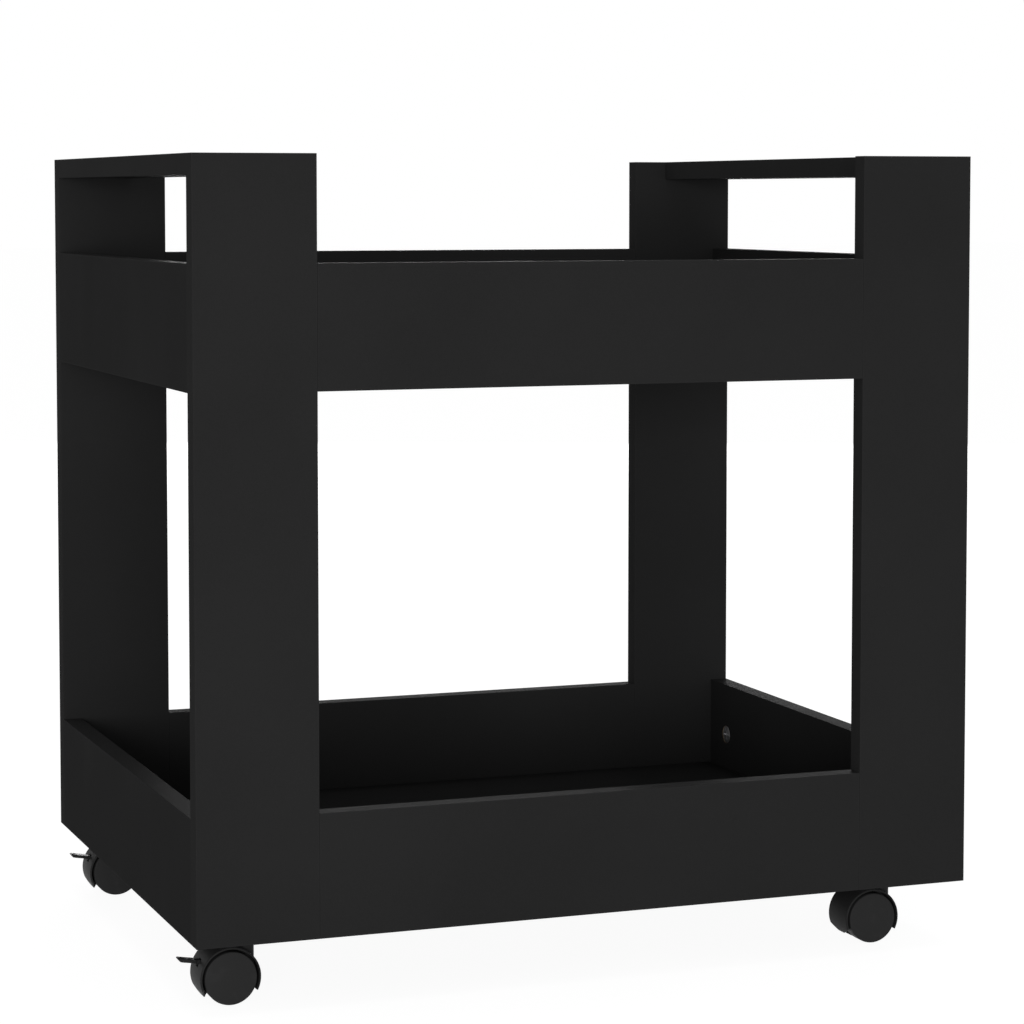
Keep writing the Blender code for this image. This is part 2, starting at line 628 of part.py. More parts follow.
def make_casters(steel, black_plastic, wheel_plastic):
    wheel, axle, kingpin, plate = wheel_mesh(), axle_mesh(), kingpin_mesh(), plate_mesh()
    lever = lever_mesh()
    hoods = {True: hood_mesh(True), False: hood_mesh(False)}
    for place, (x, y) in caster_places().items():
        braked = place.endswith("left")
        mount = new_object("mount_" + place, None, (x, y, 0))
        add_piece("caster_plate_" + place, plate, steel, parent=mount)
        add_piece("kingpin_" + place, kingpin, steel, parent=mount)
        hood = add_piece("hood_" + place, hoods[braked], black_plastic, parent=mount)
        centre = (WHEEL_CENTRE[0], 0, WHEEL_CENTRE[1])
        add_piece("axle_" + place, axle, steel, centre, hood)
        for letter, side in (("a", -1), ("b", 1)):
            at = (WHEEL_CENTRE[0], side * WHEEL_INNER, WHEEL_CENTRE[1])
            turn = 0 if side > 0 else math.pi
            add_piece(f"wheel_{place}_{letter}", wheel, wheel_plastic, at, hood, turn)
        if braked:
            at = (LEVER_PIVOT[0], 0, LEVER_PIVOT[1])
            add_piece("brake_lever_" + place, lever, black_plastic, at, hood)


def build():
    clear_scene()
    laminate = finish("black_laminate", (0.021, 0.021, 0.021), 0.45)
    zinc = finish("zinc", (0.42, 0.42, 0.43), 0.40, 1.0)
    steel = finish("zinc_plated_steel", (0.50, 0.50, 0.52), 0.35, 1.0)
    black_plastic = finish("black_nylon", (0.012, 0.012, 0.012), 0.30)
    wheel_plastic = finish("wheel_nylon", (0.024, 0.024, 0.024), 0.45)
    make_frame(laminate)
    make_cam_locks(zinc, steel)
    make_casters(steel, black_plastic, wheel_plastic)


build()
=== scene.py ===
# Rolling cart of black laminated board: its boards, cam locks and casters, dressed for the studio.
# Metres, +Z up, and the front faces -Y, as in the frame.
import json
import math

import bpy
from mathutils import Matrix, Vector


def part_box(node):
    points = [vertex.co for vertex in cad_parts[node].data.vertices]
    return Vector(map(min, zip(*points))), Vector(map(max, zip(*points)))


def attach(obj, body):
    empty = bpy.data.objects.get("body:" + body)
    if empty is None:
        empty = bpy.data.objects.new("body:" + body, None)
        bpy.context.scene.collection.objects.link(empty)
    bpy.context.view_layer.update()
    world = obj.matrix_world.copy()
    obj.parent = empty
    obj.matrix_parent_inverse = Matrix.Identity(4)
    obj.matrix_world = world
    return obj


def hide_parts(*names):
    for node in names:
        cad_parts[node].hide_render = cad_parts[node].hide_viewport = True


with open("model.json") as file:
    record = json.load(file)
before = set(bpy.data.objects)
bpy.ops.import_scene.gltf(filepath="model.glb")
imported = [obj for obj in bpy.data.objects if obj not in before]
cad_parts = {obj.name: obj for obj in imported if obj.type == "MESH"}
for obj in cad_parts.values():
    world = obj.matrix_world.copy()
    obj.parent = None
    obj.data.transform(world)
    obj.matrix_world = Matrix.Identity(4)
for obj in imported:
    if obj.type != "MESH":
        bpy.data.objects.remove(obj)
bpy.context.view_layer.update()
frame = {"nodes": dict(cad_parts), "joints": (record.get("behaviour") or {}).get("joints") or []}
print("frame loaded:", len(frame["nodes"]), "nodes")


# Selecting, adding and cutting, as by hand

sameLength = 0.00001     # lengths that differ by less count as equal
shortestEdge = 0.000002  # anything shorter is a leftover of a cut
squarely = 0.99          # share of the normal along an axis, of a face that looks that way
boreSides = 48
pinSides = 32
dowelSides = 24
turns = {"X": (0, math.pi / 2, 0), "Y": (-math.pi / 2, 0, 0), "Z": (0, 0, 0)}


def only(piece):
    if bpy.context.mode != "OBJECT":
        bpy.ops.object.mode_set(mode="OBJECT")
    bpy.ops.object.select_all(action="DESELECT")
    piece.select_set(True)
    bpy.context.view_layer.objects.active = piece


def edit(piece, mode):
    only(piece)
    bpy.ops.object.mode_set(mode="EDIT")
    bpy.ops.mesh.select_mode(type=mode)
    bpy.ops.mesh.select_all(action="DESELECT")
    bpy.ops.object.mode_set(mode="OBJECT")


def pickFaces(piece, wanted):
    # wanted looks at a face's middle and normal; the piece stays in edit mode
    edit(piece, "FACE")
    for face in piece.data.polygons:
        face.select = wanted(face.center, face.normal)
    bpy.ops.object.mode_set(mode="EDIT")


def pickEdges(piece, wanted):
    # wanted looks at an edge's two ends; the piece stays in edit mode
    edit(piece, "EDGE")
    points = piece.data.vertices
    for edge in piece.data.edges:
        edge.select = wanted(points[edge.vertices[0]].co, points[edge.vertices[1]].co)
    bpy.ops.object.mode_set(mode="EDIT")


def pickAll(piece, mode="VERT"):
    # the piece stays in edit mode
    edit(piece, mode)
    bpy.ops.object.mode_set(mode="EDIT")
    bpy.ops.mesh.select_all(action="SELECT")


def bevelPicked(width, steps):
    bpy.ops.mesh.bevel(offset=width, segments=steps, affect="EDGES")


def named(name):
    # the new piece's place goes into its mesh, and its object is left at the origin
    piece = bpy.context.active_object
    piece.name = name
    piece.data.name = name
    only(piece)
    bpy.ops.object.transform_apply(location=True, rotation=True, scale=True)
    return piece


def addBox(name, low, high):
    bpy.ops.object.select_all(action="DESELECT")
    size = Vector(high) - Vector(low)
    bpy.ops.mesh.primitive_cube_add(size=1, location=(Vector(high) + Vector(low)) / 2, scale=size)
    return named(name)


def addRound(name, middle, radius, length, axis="Z", sides=64, tip=None):
    # a cylinder about its middle, or a cone that narrows to tip along the axis
    bpy.ops.object.select_all(action="DESELECT")
    far = radius if tip is None else tip
    bpy.ops.mesh.primitive_cone_add(
        vertices=sides, radius1=radius, radius2=far, depth=length, location=middle, rotation=turns[axis])
    return named(name)


def combine(piece, tool, operation="DIFFERENCE"):
    only(piece)
    modifier = piece.modifiers.new("Boolean", "BOOLEAN")
    modifier.operation = operation
    modifier.object = tool
    bpy.ops.object.modifier_apply(modifier=modifier.name)
    bpy.data.objects.remove(tool, do_unlink=True)
    return piece


def soften(piece, width, steps, angle):
    only(piece)
    modifier = piece.modifiers.new("Bevel", "BEVEL")
    modifier.width = width
    modifier.segments = steps
    modifier.limit_method = "ANGLE"
    modifier.angle_limit = math.radians(angle)
    bpy.ops.object.modifier_apply(modifier=modifier.name)


def sliced(piece, at, normal):
    # keeps what lies behind a plane and closes the cut
    pickAll(piece, "FACE")
    across = Vector(normal).normalized()
    bpy.ops.mesh.bisect(plane_co=at, plane_no=across, use_fill=True, clear_outer=True, threshold=sameLength)
    bpy.ops.object.mode_set(mode="OBJECT")


def cleaned(piece):
    # takes out faces without area that cuts leave behind
    pickAll(piece)
    bpy.ops.mesh.dissolve_degenerate(threshold=shortestEdge)
    bpy.ops.object.mode_set(mode="OBJECT")
    return piece


def spun(piece, middle, angle):
    # turns it about an axis along Y through a point
    pickAll(piece)
    bpy.ops.transform.rotate(value=angle, orient_axis="Y", center_override=middle)
    bpy.ops.object.mode_set(mode="OBJECT")


def middleOf(node):
    low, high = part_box(node)
    return (low + high) / 2


def smooth(piece, angle):
    only(piece)
    bpy.ops.object.shade_smooth_by_angle(angle=math.radians(angle))
    return piece


def copied(piece, name, shift=(0, 0, 0), halfTurnAt=None):
    # a copy with its own mesh, moved, or turned half round an upright line
    only(piece)
    bpy.ops.object.duplicate(linked=False)
    twin = bpy.context.active_object
    if halfTurnAt is not None:
        twin.rotation_euler.z = math.pi
        twin.location = (2 * halfTurnAt[0], 2 * halfTurnAt[1], 0)
    twin.location += Vector(shift)
    return named(name)


def dress(piece, finish, body, node):
    piece.data.materials.clear()
    piece.data.materials.append(finish)
    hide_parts(node)
    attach(piece, body)


# Finishes

class Wire:
    # an output of a node, so that shader maths reads as plain expressions
    def __init__(self, finish, output):
        self.finish = finish
        self.output = output

    def maths(self, operation, first, second):
        return self.finish.node("Math", {"operation": operation}, {0: first, 1: second})

    def __add__(self, other):
        return self.maths("ADD", self, other)

    def __radd__(self, other):
        return self.maths("ADD", other, self)

    def __sub__(self, other):
        return self.maths("SUBTRACT", self, other)

    def __rsub__(self, other):
        return self.maths("SUBTRACT", other, self)

    def __mul__(self, other):
        return self.maths("MULTIPLY", self, other)

    def __rmul__(self, other):
        return self.maths("MULTIPLY", other, self)


class Finish:
    def __init__(self, name):
        self.material = bpy.data.materials.new(name)
        self.material.use_nodes = True
        self.tree = self.material.node_tree
        self.shader = self.tree.nodes["Principled BSDF"]

    def join(self, value, socket):
        if isinstance(value, Wire):
            self.tree.links.new(value.output, socket)
        else:
            socket.default_value = value

    def node(self, kind, settings, sockets, output=0):
        made = self.tree.nodes.new("ShaderNode" + kind)
        for setting, value in settings.items():
            setattr(made, setting, value)
        for socket, value in sockets.items():
            self.join(value, made.inputs[socket])
        return Wire(self, made.outputs[output])

    def noise(self, scale, detail, stretch=(1, 1, 1)):
        place = self.node("TexCoord", {}, {}, "Object")
        point = self.node("Mapping", {}, {"Vector": place, "Scale": stretch})
        return self.node("TexNoise", {}, {"Vector": point, "Scale": scale, "Detail": detail})

    def between(self, share, first, second):
        # a colour from first to second
        sockets = {"Factor": share, "A": (*first, 1), "B": (*second, 1)}
        return self.node("Mix", {"data_type": "RGBA"}, sockets, "Result")

    def clipped(self, value, low, high):
        # 0 below low, 1 above high
        return self.node("MapRange", {}, {"Value": value, "From Min": low, "From Max": high})

    def bump(self, height, depth):
        return self.node("Bump", {}, {"Height": height, "Distance": depth, "Strength": 1.0})

    def set(self, **sockets):
        for socket, value in sockets.items():
            self.join(value, self.shader.inputs[socket.replace("_", " ")])
        return self.material


laminateLook = {
    "dark": (0.0194, 0.0194, 0.0195),
    "light": (0.0232, 0.0232, 0.0233),
    "mottle": (0.35, 0.65),  # where the mottling begins and ends
    "speckle": 0.5,          # share of the fine bumps in it
    "cloud scale": 7,
    "roughness": 0.58,
    "gloss": 0.0008,         # specular level, very low on this matt melamine paper
    "pearl scale": 1500,     # bumps per metre
    "pearl depth": 0.00005,
    "pearl rougher": 0.05,
    "smear scale": 21,
    "smear stretch": (1, 1, 0.3),
    "smear": (0.52, 0.75),
    "smear smoother": 0.06,
    "band shade": 1.06,      # of the edge band against the faces
    "band smoother": 0.06,
}


def laminate(name, shade, smoother):
    look = laminateLook
    finish = Finish(name)
    cloud = finish.noise(look["cloud scale"], detail=4)
    pearl = finish.noise(look["pearl scale"], detail=2)
    wiped = finish.noise(look["smear scale"], 5, look["smear stretch"])
    smear = finish.clipped(wiped, *look["smear"])
    mottle = look["speckle"] * pearl + (1 - look["speckle"]) * cloud
    dark, light = [[c * shade for c in look[tone]] for tone in ("dark", "light")]
    color = finish.between(finish.clipped(mottle, *look["mottle"]), dark, light)
    roughness = look["roughness"] - smoother + look["pearl rougher"] * pearl - look["smear smoother"] * smear
    return finish.set(
        Base_Color=color,
        Roughness=roughness,
        Normal=finish.bump(pearl, look["pearl depth"]),
        Specular_IOR_Level=look["gloss"],
    )


nylonLook = {
    # colour, roughness, specular level, bumps per metre, and strength of the rubbed patches
    "hood": ((0.0205, 0.0205, 0.0206), 0.45, 0.038, 500, 0.1),
    "wheel": ((0.0245, 0.0245, 0.0246), 0.48, 0.05, 900, 0.15),
    "grain depth": 0.00002,
    "grain rougher": 0.06,
    "rubbed scale": 110,
    "rubbed": (0.55, 0.8),
    "rubbed rougher": 0.2,
    "rubbed times": 2.2,     # paler by this factor
    "rubbed plus": 0.01,
}


def moulded(name, use):
    # moulded nylon: a fine grain from the tool, and paler rubbed patches
    look = nylonLook
    color, roughness, gloss, grain, wear = look[use]
    finish = Finish(name)
    fine = finish.noise(grain, detail=2)
    wide = finish.noise(look["rubbed scale"], detail=4)
    rubbed = finish.clipped(wide, *look["rubbed"]) * wear
    pale = [c * look["rubbed times"] + look["rubbed plus"] for c in color]
    return finish.set(
        Base_Color=finish.between(rubbed, color, pale),
        Roughness=roughness + look["grain rougher"] * fine + look["rubbed rougher"] * rubbed,
        Normal=finish.bump(fine, look["grain depth"]),
        Specular_IOR_Level=gloss,
    )


zincLook = {
    # colour, roughness, and stretch of the rolling lines
    "plate": ((0.56, 0.57, 0.60), 0.26, (1, 0.08, 1)),
    "cast": ((0.44, 0.44, 0.45), 0.38, (1, 1, 1)),
    "metal": 0.95,
    "cloud scale": 160,
    "dull": (0.35, 0.7),
    "dull shade": 0.72,
    "dull rougher": 0.14,
    "dull metal": 0.1,       # how much less metallic
    "line scale": 900,
    "line rougher": 0.05,
    "line depth": 0.00001,
}


def plated(name, use):
    # zinc on steel: cloudy plating with fine rolling lines
    look = zincLook
    color, roughness, stretch = look[use]
    finish = Finish(name)
    cloud = finish.noise(look["cloud scale"], detail=5)
    lines = finish.noise(look["line scale"], 2, stretch)
    dull = finish.clipped(cloud, *look["dull"])
    return finish.set(
        Base_Color=finish.between(dull, color, [c * look["dull shade"] for c in color]),
        Roughness=roughness + look["dull rougher"] * dull + look["line rougher"] * lines,
        Metallic=look["metal"] - look["dull metal"] * dull,
        Normal=finish.bump(lines, look["line depth"]),
    )


woodLook = {
    # pale and dark, fibres or chips per metre, their stretch, and their depth
    "chipboard": ((0.42, 0.30, 0.18), (0.20, 0.13, 0.07), 700, (1, 1, 1), 0.0003),
    "beech": ((0.56, 0.39, 0.23), (0.42, 0.27, 0.14), 900, (0.06, 1, 1), 0.0001),
    "fibre": (0.35, 0.65),
    "roughness": 0.75,
    "pale smoother": 0.15,
    "gloss": 0.3,
}


def timber(name):
    # wood fibres or chips, and their bump
    look = woodLook
    pale, dark, scale, stretch, depth = look[name]
    finish = Finish(name)
    fibre = finish.noise(scale, 5, stretch)
    share = finish.clipped(fibre, *look["fibre"])
    return finish.set(
        Base_Color=finish.between(share, dark, pale),
        Roughness=look["roughness"] - look["pale smoother"] * share,
        Normal=finish.bump(fibre, depth),
        Specular_IOR_Level=look["gloss"],
    )


laminateBlack = laminate("laminate_black", 1.0, 0.0)
edgeBand = laminate("edge_band", laminateLook["band shade"], laminateLook["band smoother"])
chipboard = timber("chipboard")
beech = timber("beech")
nylonGloss = moulded("nylon_gloss", "hood")
nylonWheel = moulded("nylon_wheel", "wheel")
zincPlate = plated("zinc_plate", "plate")
zincCast = plated("zinc_cast", "cast")
print("finishes made")


# Boards

boardLook = {
    "edge radius": 0.0002,
    "edge steps": 2,
    "band": 0.0010,           # from the board's edge to the joint of band and face
    "joint width": 0.0001,
    "joint depth": 0.00004,
    "play": 0.0003,           # of every drilled hole round what it holds
    "bolt play": 0.0006,
    "pilot radius": 0.0020,
    "pilot step": 0.0135,     # from the caster's middle to its screws, in X and in Y
    "seat": 0.0001,           # between a board's end and the next board
    "dowel radius": 0.0040,
    "dowel length": 0.030,
    "dowel setback": 0.022,   # from the long edges of a rail
    "dowel in face": 0.0105,  # how deep a shelf's dowels go into the side rails
    "dowel chamfer": 0.0008,
    "shelf dowels": 0.200,    # from one to the other
    "skin": 0.0001,           # what lies further inside or outside isn't on the board's surface
    "hole wall": 0.1,         # its normal has less than this along the board's thickness
    "band reach": 0.9,        # share of the band in which the middles of its faces lie
}
boardFinishes = [laminateBlack, edgeBand, chipboard, beech]


def makeBoard(node, holes=(), dowelReach=0.0):
    # dowelReach is how far the board's own dowels stand out of its two ends
    look = boardLook
    low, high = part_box(node)
    if dowelReach:
        trim = Vector((dowelReach + look["seat"], 0, 0))
        low, high = low + trim, high - trim
    size = high - low
    thin = min(range(3), key=lambda i: size[i])
    piece = addBox(node + "_board", low, high)
    pickEdges(piece, lambda a, b: True)
    bevelPicked(look["edge radius"], look["edge steps"])
    pickFaces(piece, lambda center, normal: abs(normal[thin]) > squarely)
    bpy.ops.mesh.inset(thickness=look["band"] - look["edge radius"])
    for depth in (-look["joint depth"], look["joint depth"]):
        bpy.ops.mesh.inset(thickness=look["joint width"], depth=depth)
    bpy.ops.object.mode_set(mode="OBJECT")
    for place in dowelsOf(node) if dowelReach else ():
        combine(piece, makeDowel(place), "UNION")
    for hole in holes:
        combine(piece, addRound("hole", *hole))
    dress(piece, laminateBlack, "cart", node)
    paintBoard(piece, low, high, thin)


def makeDowel(place):
    look = boardLook
    dowel = addRound("dowel", place, look["dowel radius"], look["dowel length"], "X", dowelSides)
    pickFaces(dowel, lambda center, normal: abs(normal.x) > squarely)
    bevelPicked(look["dowel chamfer"], 2)
    bpy.ops.object.mode_set(mode="OBJECT")
    return dowel


def paintBoard(piece, low, high, thin):
    # dowels stand out of the ends, bores lie inside, and the band runs round the edges
    look = boardLook
    for finish in boardFinishes[1:]:
        piece.data.materials.append(finish)
    skin, radius = look["skin"], look["edge radius"]
    for face in piece.data.polygons:
        middle = face.center
        depths = [min(middle[i] - low[i], high[i] - middle[i]) for i in range(3)]
        depth = min(depths)
        toEdge = min(depths[i] for i in range(3) if i != thin)
        finish = laminateBlack
        if middle.x < low.x - skin or middle.x > high.x + skin:
            finish = beech
        elif depth > radius + skin or depth > skin and abs(face.normal[thin]) < look["hole wall"]:
            finish = chipboard
        elif toEdge < look["band"] * look["band reach"]:
            finish = edgeBand
        face.material_index = boardFinishes.index(finish)


def dowelsOf(node):
    # the middles of the dowels in a board's two ends
    low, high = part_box(node)
    middle = (low + high) / 2
    x = high.x - boardLook["dowel length"] / 2
    if node.startswith("shelf"):
        step = boardLook["shelf dowels"] / 2
        spots = [(middle.y - step, middle.z), (middle.y + step, middle.z)]
    else:
        setback = boardLook["dowel setback"]
        spots = [(middle.y, low.z + setback), (middle.y, high.z - setback)]
    return [Vector((side * x, y, z)) for side in (-1, 1) for y, z in spots]


def dowelHoles(side, *nodes):
    play = boardLook["play"]
    radius, length = boardLook["dowel radius"] + play, boardLook["dowel length"] + 2 * play
    places = [place for node in nodes for place in dowelsOf(node) if place.x * side > 0]
    return [(place, radius, length, "X", dowelSides) for place in places]


def camHoles(hand, level, where):
    # the drum's bore, and the bolt's bore from the rail's end to the drum
    drumLow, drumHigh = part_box(f"cam_lock_{hand}_{level}_{where}")
    boltLow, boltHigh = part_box(f"cam_bolt_{hand}_{level}_{where}")
    drum, bolt = (drumLow + drumHigh) / 2, (boltLow + boltHigh) / 2
    drumRadius, drumLength = (drumHigh.z - drumLow.z) / 2, drumHigh.x - drumLow.x
    boltRadius, boltLength = (boltHigh.z - boltLow.z) / 2, boltHigh.y - boltLow.y
    play = boardLook["play"]
    drumHole = (drum, drumRadius + play, drumLength + 2 * play, "X")
    boltHole = (bolt, boltRadius + boardLook["bolt play"], boltLength, "Y", pinSides)
    return [drumHole, boltHole]


def threadHoles(where, hand):
    holes = []
    for level in ("lower", "upper"):
        low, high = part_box(f"cam_bolt_{hand}_{level}_{where}")
        radius = (high.z - low.z) / 2
        holes.append(((low + high) / 2, radius, high.y - low.y + 2 * boardLook["play"], "Y", pinSides))
    return holes


def pilotHoles():
    holes = []
    radius, step = boardLook["pilot radius"], boardLook["pilot step"]
    for place in casterPlaces:
        low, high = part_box("caster_plate_" + place)
        middle = (low + high) / 2
        for x in (-step, step):
            for y in (-step, step):
                holes.append((middle + Vector((x, y, 0)), radius, high.z - low.z, "Z", dowelSides))
    return holes


casterPlaces = ("front_left", "front_right", "back_left", "back_right")
for side, hand in ((-1, "left"), (1, "right")):
    makeBoard("handle_" + hand)
    for level in ("lower", "upper"):
        cams = camHoles(hand, level, "front") + camHoles(hand, level, "back")
        makeBoard(f"rail_{hand}_{level}", cams + dowelHoles(side, "shelf_" + level))
    for where in ("front", "back"):
        dowels = dowelHoles(side, f"rail_{where}_lower", f"rail_{where}_upper")
        makeBoard(f"stile_{where}_{hand}", threadHoles(where, hand) + dowels)
for level in ("lower", "upper"):
    for where in ("front", "back"):
        makeBoard(f"rail_{where}_{level}", dowelReach=boardLook["dowel length"] / 2)
makeBoard("shelf_upper", dowelReach=boardLook["dowel in face"])
makeBoard("shelf_lower", pilotHoles(), boardLook["dowel in face"])
print("boards made")


# Cam locks: cast drums, turned by a screwdriver in their cross

camLook = {
    "sides": 72,
    "rim": 0.0003,
    "cross length": 0.0088,
    "cross width": 0.0017,
    "cross depth": 0.0020,
    "arrow": 0.0013,
    "arrow depth": 0.0004,
    "arrow place": 0.78,       # share of the drum's radius
    "channel radius": 0.0035,
    "channel depth": 0.0075,   # its middle below the driven face, in the middle of the board
    "channel place": 0.9,      # share of the drum's radius
    "channel length": 2.3,     # in radii of the drum
    "smooth": 35,              # degrees
}


def makeCam(node, towards):
    # the drum's axis is X, and its driven face looks into the cart; towards is its bolt's side in Y
    look = camLook
    low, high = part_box(node)
    middle = (low + high) / 2
    radius, depth = (high.z - low.z) / 2, high.x - low.x
    facing = -1 if middle.x > 0 else 1
    front = middle.x + facing * depth / 2
    piece = addRound(node + "_drum", middle, radius, depth, "X", look["sides"])
    pickFaces(piece, lambda center, normal: normal.x * facing > squarely)
    bevelPicked(look["rim"], 2)
    bpy.ops.object.mode_set(mode="OBJECT")
    face = Vector((front, middle.y, middle.z))
    long, wide = look["cross length"] / 2, look["cross width"] / 2
    for y, z in ((wide, long), (long, wide)):
        half = Vector((look["cross depth"], y, z))
        combine(piece, addBox("bar", face - half, face + half))
    tip = Vector((front, middle.y + towards * radius * look["arrow place"], middle.z))
    combine(piece, addRound("arrow", tip, look["arrow"], 2 * look["arrow depth"], "X", 3))
    inside = front - facing * look["channel depth"]
    channel = Vector((inside, middle.y + towards * radius * look["channel place"], middle.z))
    length = look["channel length"] * radius
    combine(piece, addRound("channel", channel, look["channel radius"], length, "Y", boreSides))
    return smooth(piece, look["smooth"])


def placeCams():
    for where, towards in (("front", -1), ("back", 1)):
        drum = makeCam(f"cam_lock_left_lower_{where}", towards)
        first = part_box(f"cam_lock_left_lower_{where}")[0]
        rise = Vector((0, 0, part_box(f"cam_lock_left_upper_{where}")[0].z - first.z))
        otherEnd = "back" if where == "front" else "front"
        across = copied(drum, f"cam_lock_right_lower_{otherEnd}_drum", halfTurnAt=(0, 0))
        for piece, hand, end in ((drum, "left", where), (across, "right", otherEnd)):
            upper = copied(piece, f"cam_lock_{hand}_upper_{end}_drum", rise)
            dress(piece, zincCast, "cart", f"cam_lock_{hand}_lower_{end}")
            dress(upper, zincCast, "cart", f"cam_lock_{hand}_upper_{end}")


placeCams()
print("cam locks made")


# Casters

wheelLook = {
    "sides": 120,
    "shoulder": 0.0008,      # rounding from the tread to the disc
    "shoulder steps": 5,
    "lip": 0.0003,
    "rim wall": 0.0028,
    "disc wall": 0.0018,
    "hub radius": 0.0052,
    "bore radius": 0.0028,
    "ribs": 5,
    "rib wall": 0.0014,
    "rib root": 0.7,         # share of the disc's wall below it
    "rib cut": 0.25,         # share of the hollow's depth that the ribs leave free
    "smooth": 35,            # degrees
}


def makeWheel(node):
    # a hollow wheel whose disc looks at -Y; hub, bore and ribs are on the side of the hood's middle wall
    low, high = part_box(node)
    middle = (low + high) / 2
    radius, width = (high.z - low.z) / 2, high.y - low.y
    look = wheelLook
    hub, bore = look["hub radius"], look["bore radius"]
    depth = width - look["disc wall"]
    rim = radius - look["rim wall"]
    away = lambda point: math.hypot(point.x - middle.x, point.z - middle.z)
    piece = addRound(node + "_moulded", middle, radius, width, "Y", look["sides"])

    # the hollow between rim and hub, and the bore, from the open side down to the disc
    pickFaces(piece, lambda center, normal: normal.y > squarely)
    bpy.ops.mesh.inset(thickness=look["rim wall"])
    bpy.ops.mesh.inset(thickness=rim - hub)
    pickFaces(piece, lambda center, normal: normal.y > squarely and hub < away(center) < rim)
    bpy.ops.mesh.extrude_region_move(TRANSFORM_OT_translate={"value": (0, -depth, 0)})
    pickFaces(piece, lambda center, normal: normal.y > squarely and away(center) < bore)
    bpy.ops.mesh.inset(thickness=hub - bore)
    bpy.ops.mesh.extrude_region_move(TRANSFORM_OT_translate={"value": (0, -depth, 0)})

    pickEdges(piece, lambda a, b: max(a.y, b.y) < low.y + sameLength and away(a) > radius - sameLength)
    bevelPicked(look["shoulder"], look["shoulder steps"])
    pickEdges(piece, lambda a, b: min(a.y, b.y) > high.y - sameLength and abs(away(a) - away(b)) < sameLength)
    bevelPicked(look["lip"], 2)
    bpy.ops.object.mode_set(mode="OBJECT")

    start, end = bore + (hub - bore) / 2, rim + look["rim wall"] / 3
    bottom, top = low.y + look["disc wall"] * look["rib root"], high.y - depth * look["rib cut"]
    half = look["rib wall"] / 2
    for i in range(look["ribs"]):
        near, far = (middle.x + start, bottom, middle.z - half), (middle.x + end, top, middle.z + half)
        rib = addBox("rib", near, far)
        spun(rib, middle, math.tau * i / look["ribs"])
        combine(piece, rib, "UNION")
    return smooth(piece, look["smooth"])


def placeWheels():
    first = makeWheel("wheel_front_left_a")
    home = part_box("wheel_front_left_a")[0]
    for place in casterPlaces:
        name = f"wheel_{place}_a"
        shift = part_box(name)[0] - home
        wheel = first if place == "front_left" else copied(first, name + "_moulded", shift)
        pinLine = (middleOf(name).x, middleOf("kingpin_" + place).y)
        other = copied(wheel, f"wheel_{place}_b_moulded", halfTurnAt=pinLine)
        dress(wheel, nylonWheel, name, name)
        dress(other, nylonWheel, f"wheel_{place}_b", f"wheel_{place}_b")


placeWheels()
print("wheels made")


hoodLook = {
    "sides": 180,
    "radius": 0.0222,
    "wall": 0.0013,
    "middle wall": 0.0094,
    "rim round": 0.0010,
    "rim steps": 5,
    "front angle": -27,      # degrees about the wheel axis
    "back angle": 200,       # where the sides end
    "tail angle": 214,       # where the middle wall ends
    "braked tail angle": 220,
    "boss radius": 0.010,
    "boss sides": 90,
    "neck radius": 0.0066,
    "pin bore": 0.0033,
    "pin depth": 0.0163,     # below the crown
    "axle bore": 0.0028,
    "slot half width": 0.0028,
    "slot back": 0.0034,
    "slot margin": 0.0021,
    "slot length": 0.012,
    "pin hole": 0.0014,
    "tail margin": 0.0001,   # the slant stays this far from the middle wall
    "bore past": 0.002,      # how far the pin bore's cutter stands out of the neck
    "wedge length": 1.5,     # of the slant's cutter, in lengths of the slant
    "wedge height": 6,       # in walls of the hood
    "wedge spare": 0.001,    # on its width, beyond twice the depth of a pocket
    "smooth": 30,            # degrees
}


def polar(axis, distance, angle):
    # a point round the wheel axis: 0 degrees is towards +X, and 90 is up
    a = math.radians(angle)
    return axis + Vector((distance * math.cos(a), 0, distance * math.sin(a)))


